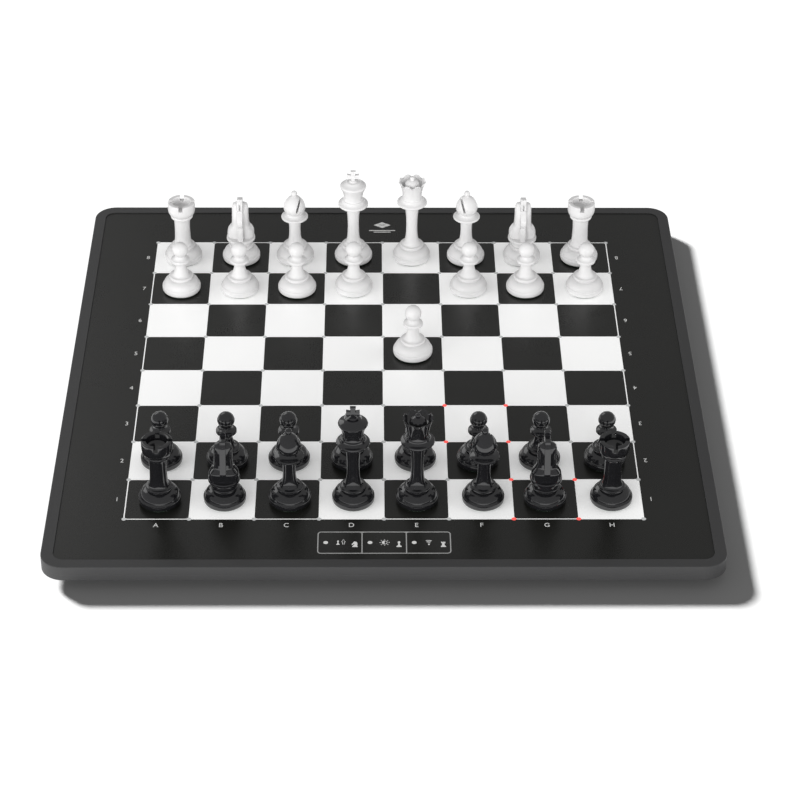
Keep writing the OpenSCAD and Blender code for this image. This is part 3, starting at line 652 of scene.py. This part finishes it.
# Side view of the flat plate of the face, ears and mane, as (forward, up), from the chest up the
# face and down the mane
plate_side = np.concatenate([
    [[7.6, 16.7]],
    bend([8.0, 20.0], [8.1, 23.2], [7.3, 25.4], 6),
    [[6.6, 26.1]],
    bend([6.8, 26.8], [8.1, 26.9], [8.3, 27.9], 5),
    [[7.5, 28.3], [7.5, 28.6], [8.7, 28.8]],
    bend([9.3, 29.2], [9.7, 31.0], [9.0, 32.4], 8),
    bend([8.5, 33.2], [7.2, 35.4], [5.5, 36.9], 8),
    [[5.5, 37.6], [4.7, 38.0], [3.0, 38.1], [3.0, 41.7], [4.4, 41.8], [4.4, 45.3], [4.1, 45.6],
     [2.3, 45.6], [2.0, 45.3], [2.0, 43.1], [-3.6, 43.1], [-4.0, 42.7], [-4.0, 41.2]],
    bend([-4.3, 41.0], [-5.2, 40.0], [-5.6, 38.2], 8),
    [[-9.0, 24.4], [-9.0, 23.4], [-8.4, 22.8], [-6.4, 22.7], [-6.2, 16.7]]])
brow_side = np.array([[2.6, 37.8], [4.7, 37.8], [4.45, 39.5], [4.4, 42.0], [2.6, 42.0]])

# Neck and shoulders: height, front, back, half width and squareness of each section
neck = np.array([
    [16.6, 4.2, -6.9, 8.0, 3.0], [17.2, 4.2, -6.9, 8.3, 3.0], [18.2, 4.2, -6.9, 8.45, 3.0],
    [19.6, 4.2, -6.9, 8.45, 3.0], [20.8, 4.2, -6.9, 8.25, 3.0], [22.0, 4.2, -6.9, 7.6, 3.2],
    [23.2, 4.2, -6.5, 6.8, 3.2], [24.4, 4.2, -6.1, 6.0, 3.0], [25.6, 4.2, -5.7, 5.6, 2.8],
    [28.0, 4.3, -5.4, 5.4, 2.8], [31.5, 4.6, -5.2, 5.3, 2.6], [34.0, 4.3, -5.1, 5.25, 2.6],
    [36.0, 3.7, -5.0, 5.2, 2.6], [37.6, 2.9, -4.8, 5.15, 2.6], [38.8, 2.2, -4.5, 4.95, 2.6],
    [39.8, 1.4, -3.9, 4.5, 2.6], [40.4, 0.7, -3.0, 3.7, 2.6], [40.8, -0.2, -1.7, 2.2, 2.6]])


def on_edge(outline, low, high, edge=0.25):
    """A plate cut to a side view, standing on edge across the middle from low to high."""
    points, faces = rounded_plate(outline, low, high, edge, 2)
    return np.column_stack([points[:, 2], -points[:, 0], points[:, 1]]), faces


def knight_shells():
    """Collar on the turned foot, a neck whose sections are super-ellipses, and the flat plate of
    the face, ears and mane, with a narrow slot in the brow."""
    rows = 54
    fine = np.linspace(neck[0, 0], neck[-1, 0], rows)
    front, back, wide, square = (np.interp(fine, neck[:, 0], neck[:, k]) for k in (1, 2, 3, 4))
    centres = np.column_stack([np.zeros(rows), -(front + back) / 2, fine])
    across = np.tile([1.0, 0.0, 0.0], (rows, 1))
    inward = np.tile([0.0, 1.0, 0.0], (rows, 1))
    plate, brow = (softened(np.concatenate([side, side[:1]]), 0.08, 0.04, 0.9, 16.0)[:-1]
                   for side in (plate_side, brow_side))
    return [turned_shell(outline_of(knight_stand), round_angles(80)),
            section_shell(centres, across, inward, wide, (front - back) / 2, 64, square[:, None]),
            on_edge(plate, -PLATE_HALF, PLATE_HALF),
            on_edge(brow, -PLATE_HALF, -SLOT_HALF, 0.1),
            on_edge(brow, SLOT_HALF, PLATE_HALF, 0.1)]


# Felt pad under the foot
felt_shell = turned_shell(softened(np.array([
    [0.0, 0.02], [10.3, 0.02], [10.45, 0.12], [10.45, 0.45], [10.3, 0.58], [0.0, 0.58]]),
    0.05, 0.02, 3.0, 20.0), round_angles(64))

made_shells = {
    "king": king_shells(), "queen": queen_shells(), "rook": rook_shells(),
    "bishop_c": bishop_shells(1.0), "bishop_f": bishop_shells(-1.0), "knight": knight_shells(),
    "pawn": pawn_shells()}

back_rank = ["rook_a", "knight_b", "bishop_c", "king", "queen", "bishop_f", "knight_g", "rook_h"]
for tint in ("white", "black"):
    for who in back_rank + [f"pawn_{letter}" for letter in "abcdefgh"]:
        name = f"{tint}_{who}"
        low, high = node_box(name)
        at = ((low[0] + high[0]) / 2, (low[1] + high[1]) / 2, PIECE_FOOT)
        shells = made_shells[who if who in made_shells else who.split("_")[0]]
        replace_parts(add_piece(f"{name}_turned", shells, name, f"{tint}_piece", at,
                              turned=tint == "black"), name)
        add_piece(f"{name}_felt", [felt_shell], name, "felt", at)


# ---------------------------------------------------------------------------------------------
# Printed marks: thin raised ink on the panel and on the keys
# ---------------------------------------------------------------------------------------------

INK = 0.03


def ink_plate(outline, top=PANEL_TOP):
    """A closed flat mark with this outline, INK high on the face at height top."""
    return rounded_plate(outline, top - 0.01, top + INK, 0.0)


def stroke(points, width, closed=False):
    """Outline of a line of this width along points, with square ends."""
    points = np.asarray(points, float)
    if closed:
        normals = outward(points)
        outer, inner = points + normals * width / 2, points - normals * width / 2
        return outer, inner
    d = np.gradient(points, axis=0)
    d /= np.hypot(*d.T)[:, None]
    n = np.stack([-d[:, 1], d[:, 0]], 1)
    return np.concatenate([points + n * width / 2, (points - n * width / 2)[::-1]])


def ring_plate(outer, inner, top=PANEL_TOP):
    """A closed flat ring between two outlines of equal length."""
    n = len(outer)
    low, high = top - 0.01, top + INK
    rims = ((outer, low), (outer, high), (inner, high), (inner, low))
    points = np.concatenate([np.column_stack([p, np.full(n, z)]) for p, z in rims])
    j = np.arange(n)
    k = (j + 1) % n
    faces = []
    for a in range(4):
        b = (a + 1) % 4
        faces += [*map(tuple, np.stack([a * n + j, a * n + k, b * n + k, b * n + j], 1))]
    return points, faces


def moved(outline, x, y, size=1.0, turn_deg=0.0):
    """An outline scaled, turned and moved."""
    a = math.radians(turn_deg)
    spin = np.array([[math.cos(a), math.sin(a)], [-math.sin(a), math.cos(a)]])
    return np.asarray(outline, float) @ spin * size + (x, y)


def letter_shells(text, x, y, tall, wide, turn_deg=0.0):
    """One character as a raised mark, tall high and wide times its own width, centred at x, y."""
    curve = bpy.data.curves.new("character", "FONT")
    curve.body = text
    curve.extrude = 0.5
    holder = bpy.data.objects.new("character", curve)
    bpy.context.scene.collection.objects.link(holder)
    graph = bpy.context.evaluated_depsgraph_get()
    mesh = bpy.data.meshes.new_from_object(holder.evaluated_get(graph))
    points = np.array([v.co[:] for v in mesh.vertices])
    faces = [tuple(p.vertices) for p in mesh.polygons]
    bpy.data.objects.remove(holder)
    bpy.data.curves.remove(curve)
    bpy.data.meshes.remove(mesh)
    low, high = points.min(0), points.max(0)
    size = tall / (high[1] - low[1])
    flat = (points[:, :2] - (low + high)[:2] / 2) * (size * wide, size)
    flat = moved(flat, x, y, 1.0, turn_deg)
    z = np.where(points[:, 2] > 0, PANEL_TOP + INK, PANEL_TOP - 0.01)
    return np.column_stack([flat, z]), faces


# Height of the coordinates, their width as a share of their own, and where they stand
LABEL_TALL, LABEL_WIDE = 3.5, 0.88
LETTER_Y, LEFT_NUMBER_X, RIGHT_NUMBER_X = -149.4, -149.2, 149.6

marks = [letter_shells(letter, field(i, 1)[0], LETTER_Y, LABEL_TALL, LABEL_WIDE)
         for i, letter in enumerate("ABCDEFGH")]
add_piece("file_letters", marks, "board", "print", smooth=False)
marks = []
for rank in range(1, 9):
    y = field(0, rank)[1]
    marks.append(letter_shells(str(rank), LEFT_NUMBER_X, y, LABEL_TALL, LABEL_WIDE))
    marks.append(letter_shells(str(rank), RIGHT_NUMBER_X, y, LABEL_TALL, LABEL_WIDE, 180.0))
add_piece("rank_numbers", marks, "board", "print", smooth=False)

# A small chequered diamond over two bars, in the middle of the far margin
EMBLEM_Y = 165.6
diamond = np.array([[0, -1], [1, 0], [0, 1], [-1, 0]], float)
emblem = [ink_plate(diamond * (2.6, 1.7) + (dx, EMBLEM_Y + dy))
          for dx, dy in ((-2.9, 0.0), (2.9, 0.0), (0.0, 1.9), (0.0, -1.9))]
emblem += [ink_plate(np.array([[-w, -0.45], [w, -0.45], [w, 0.45], [-w, 0.45]]) + (0, y))
           for w, y in ((8.5, 158.9), (5.5, 157.0))]
add_piece("far_emblem", emblem, "board", "print", smooth=False)

# Silhouettes for the keys, one unit high, standing on zero
pawn_mark = np.concatenate([
    [[-0.42, 0.0], [0.42, 0.0], [0.42, 0.12]], bend([0.36, 0.16], [0.12, 0.3], [0.12, 0.56], 5),
    arc([0.0, 0.78], 0.22, -60, 240, 14), bend([-0.12, 0.56], [-0.12, 0.3], [-0.36, 0.16], 5),
    [[-0.42, 0.12]]])
rook_mark = np.concatenate([
    [[-0.46, 0.0], [0.46, 0.0], [0.46, 0.14]], bend([0.38, 0.18], [0.2, 0.3], [0.2, 0.66], 5),
    [[0.36, 0.74], [0.36, 1.0], [0.2, 1.0], [0.2, 0.88], [0.08, 0.88], [0.08, 1.0], [-0.08, 1.0],
     [-0.08, 0.88], [-0.2, 0.88], [-0.2, 1.0], [-0.36, 1.0], [-0.36, 0.74], [-0.2, 0.66]],
    bend([-0.2, 0.62], [-0.2, 0.3], [-0.38, 0.18], 5), [[-0.46, 0.14]]])
horse_mark = np.concatenate([
    [[-0.4, 0.0], [0.46, 0.0], [0.46, 0.13], [0.36, 0.17]],
    bend([0.4, 0.3], [0.52, 0.95], [0.0, 0.93], 8),
    [[-0.06, 1.0], [-0.12, 0.9]], bend([-0.16, 0.86], [-0.34, 0.66], [-0.5, 0.5], 5),
    bend([-0.48, 0.38], [-0.36, 0.34], [-0.26, 0.46], 4), [[-0.08, 0.52]],
    bend([-0.02, 0.44], [-0.3, 0.3], [-0.3, 0.17], 4), [[-0.4, 0.13]]])


def disc_outline(x, y, r, count=32):
    """A full circle."""
    return arc([x, y], r, 0, 360 - 360 / count, count - 1)


def key_marks(name, key, mid_x, extra, silhouette, mark_size):
    """The printed dot, symbol and silhouette on one key, from left to right."""
    dot_x, symbol_x, silhouette_x = mid_x - 7.8, mid_x + 0.2, mid_x + 8.1
    shells = [ink_plate(disc_outline(dot_x, STRIP_Y, 1.3)), *extra(symbol_x, STRIP_Y)]
    slim = silhouette * (0.78, 1.15)
    shells.append(ink_plate(moved(slim, silhouette_x, STRIP_Y - 3.9, mark_size)))
    return add_piece(name, shells, key, "print", smooth=False)


def swap_symbol(x, y):
    """A small filled pawn beside an outlined arrow that points away."""
    arrow = np.array([[-0.55, -1.3], [0.55, -1.3], [0.55, 0.1], [1.25, 0.1], [0.0, 1.6],
                      [-1.25, 0.1], [-0.55, 0.1]])
    arrow = anticlockwise(moved(arrow * (0.9, 1.3), x + 1.7, y + 0.4, 1.05))
    outer, inner = stroke(arrow, 0.34, closed=True)
    small_pawn = pawn_mark * (0.62, 1.1)
    return [ink_plate(moved(small_pawn, x - 1.3, y - 1.9, 3.4)), ring_plate(outer, inner)]


def light_symbol(x, y):
    """A sun: ring, filled left half and eight rays."""
    outer, inner = disc_outline(x, y, 1.55), disc_outline(x, y, 1.25)
    half = arc([x, y], 1.3, 90, 270, 18)
    rays = []
    for k in range(8):
        a = math.radians(45 * k)
        d = np.array([math.cos(a), math.sin(a)])
        rays.append(ink_plate(stroke([[x, y] + d * 2.05, [x, y] + d * 2.75], 0.36)))
    return [ring_plate(outer, inner), ink_plate(half), *rays]


def radio_symbol(x, y):
    """A dot with three growing waves above it."""
    shells = [ink_plate(disc_outline(x, y - 1.7, 0.5, 20))]
    for r in (1.3, 2.4, 3.5):
        shells.append(ink_plate(stroke(arc([x, y - 1.7], r, 62, 118, 16), 0.42)))
    return shells


def key_middle(key):
    """Middle of a key along the strip."""
    low, high = node_box(key)
    return float(low[0] + high[0]) / 2


for use, symbol, silhouette, mark_size in (("side_swap", swap_symbol, horse_mark, 4.4),
                                           ("brightness", light_symbol, pawn_mark, 4.4),
                                           ("wireless", radio_symbol, rook_mark, 4.0)):
    key_marks(f"{use}_marks", f"{use}_key", key_middle(f"{use}_key"), symbol, silhouette,
              mark_size)


# ---------------------------------------------------------------------------------------------
# Floor, light and camera
# ---------------------------------------------------------------------------------------------

scene = bpy.context.scene
scene.view_settings.view_transform = "Standard"

FLOOR_REACH = 20.0
FLOOR_GREY = (0.245, 0.255)

floor_mesh = bpy.data.meshes.new("floor")
floor_mesh.from_pydata([(x * FLOOR_REACH, y * FLOOR_REACH, 0.0)
                        for x, y in ((-1, -1), (1, -1), (1, 1), (-1, 1))], [], [(0, 1, 2, 3)])
floor = bpy.data.objects.new("floor", floor_mesh)
scene.collection.objects.link(floor)
floor_material, floor_tree, floor_shader, floor_coords = start("floor_paper")
floor_tree.links.new(blend(floor_tree, noise(floor_tree, floor_coords, 60.0),
                           *((grey, grey, grey) for grey in FLOOR_GREY)),
                     floor_shader.inputs["Base Color"])
for key, value in (("Roughness", 0.9), ("Specular IOR Level", 0.0),
                   ("Emission Color", (1.0, 1.0, 1.0, 1.0)), ("Emission Strength", 0.045)):
    floor_shader.inputs[key].default_value = value
floor_mesh.materials.append(floor_material)

world = bpy.data.worlds.new("studio")
scene.world = world
world.use_nodes = True
surround = world.node_tree.nodes["Background"].inputs
surround["Color"].default_value = (1.0, 1.0, 1.0, 1.0)
surround["Strength"].default_value = 0.32

# The sun lights only the floor, and only the board stands in its way; the boxes light the rest
floor_only = bpy.data.collections.new("floor_light_receivers")
floor_only.objects.link(floor)
not_floor = bpy.data.collections.new("object_light_receivers")
not_floor.objects.link(floor)
not_floor.collection_objects[0].light_linking.link_state = "EXCLUDE"
casters = bpy.data.collections.new("board_shadow_casters")
for part in frame["nodes"]:
    if part != "bottom_case" and not part.startswith(("white_", "black_")):
        casters.objects.link(frame["nodes"][part])


def lamp(name, kind, at, target, power, size, receivers, mirrored=False):
    """A soft light at a place, turned towards target, with the angle of a sun or the sides of a
    box as size. Only a mirrored one shows in polished surfaces."""
    data = bpy.data.lights.new(name, kind)
    data.energy = power
    if kind == "SUN":
        data.angle = size
    else:
        data.shape = "RECTANGLE"
        data.size, data.size_y = size
    made = bpy.data.objects.new(name, data)
    scene.collection.objects.link(made)
    made.location = at
    made.rotation_euler = (Vector(target) - Vector(at)).to_track_quat("-Z", "Y").to_euler()
    made.light_linking.receiver_collection = receivers
    made.visible_glossy = mirrored
    return made


window = lamp("window", "SUN", (-1.064, 0.994, 1.0), (0.0, 0.0, 0.0), 22.0, math.radians(9.5),
              floor_only)
window.light_linking.blocker_collection = casters
MIDDLE = (0.0, 0.0, 0.03)
for name, at, power, size in (("front_low_box", (-0.2, -2.4, 0.6), 52.0, (2.6, 1.1)),
                              ("front_left_box", (-1.8, -1.8, 1.0), 42.0, (2.3, 1.7)),
                              ("right_box", (2.2, 0.0, 0.9), 26.0, (2.4, 1.5)),
                              ("left_box", (-2.2, 0.0, 0.9), 9.0, (2.0, 1.2)),
                              ("back_left_box", (-1.3, 2.0, 1.5), 6.0, (1.6, 1.2))):
    lamp(name, "AREA", at, MIDDLE, power, size, not_floor, mirrored=name == "back_left_box")

CAMERA_AT = (-0.0072, -1.2775, 0.9039)
SENSOR_MM, LENS_MM = 36.0, 116.91
PITCH_DEG, YAW_DEG, ROLL_DEG = 35.48, 0.784, -0.447

camera_data = bpy.data.cameras.new("camera")
camera = bpy.data.objects.new("camera", camera_data)
scene.collection.objects.link(camera)
scene.camera = camera
camera_data.sensor_width = SENSOR_MM
camera_data.lens = LENS_MM
camera_data.clip_end = 50.0

# Pitch is downwards from level, yaw to the right of straight ahead, roll about the view
pitch, yaw, roll = (math.radians(a) for a in (PITCH_DEG, YAW_DEG, ROLL_DEG))
ahead = Vector((math.sin(yaw) * math.cos(pitch), math.cos(yaw) * math.cos(pitch),
                -math.sin(pitch)))
right = Vector((math.cos(yaw), -math.sin(yaw), 0.0))
up = Vector((math.sin(yaw) * math.sin(pitch), math.cos(yaw) * math.sin(pitch), math.cos(pitch)))
level_right = right * math.cos(roll) - up * math.sin(roll)
level_up = right * math.sin(roll) + up * math.cos(roll)
camera.matrix_world = Matrix((
    *((level_right[k], level_up[k], -ahead[k], CAMERA_AT[k]) for k in range(3)),
    (0.0, 0.0, 0.0, 1.0)))
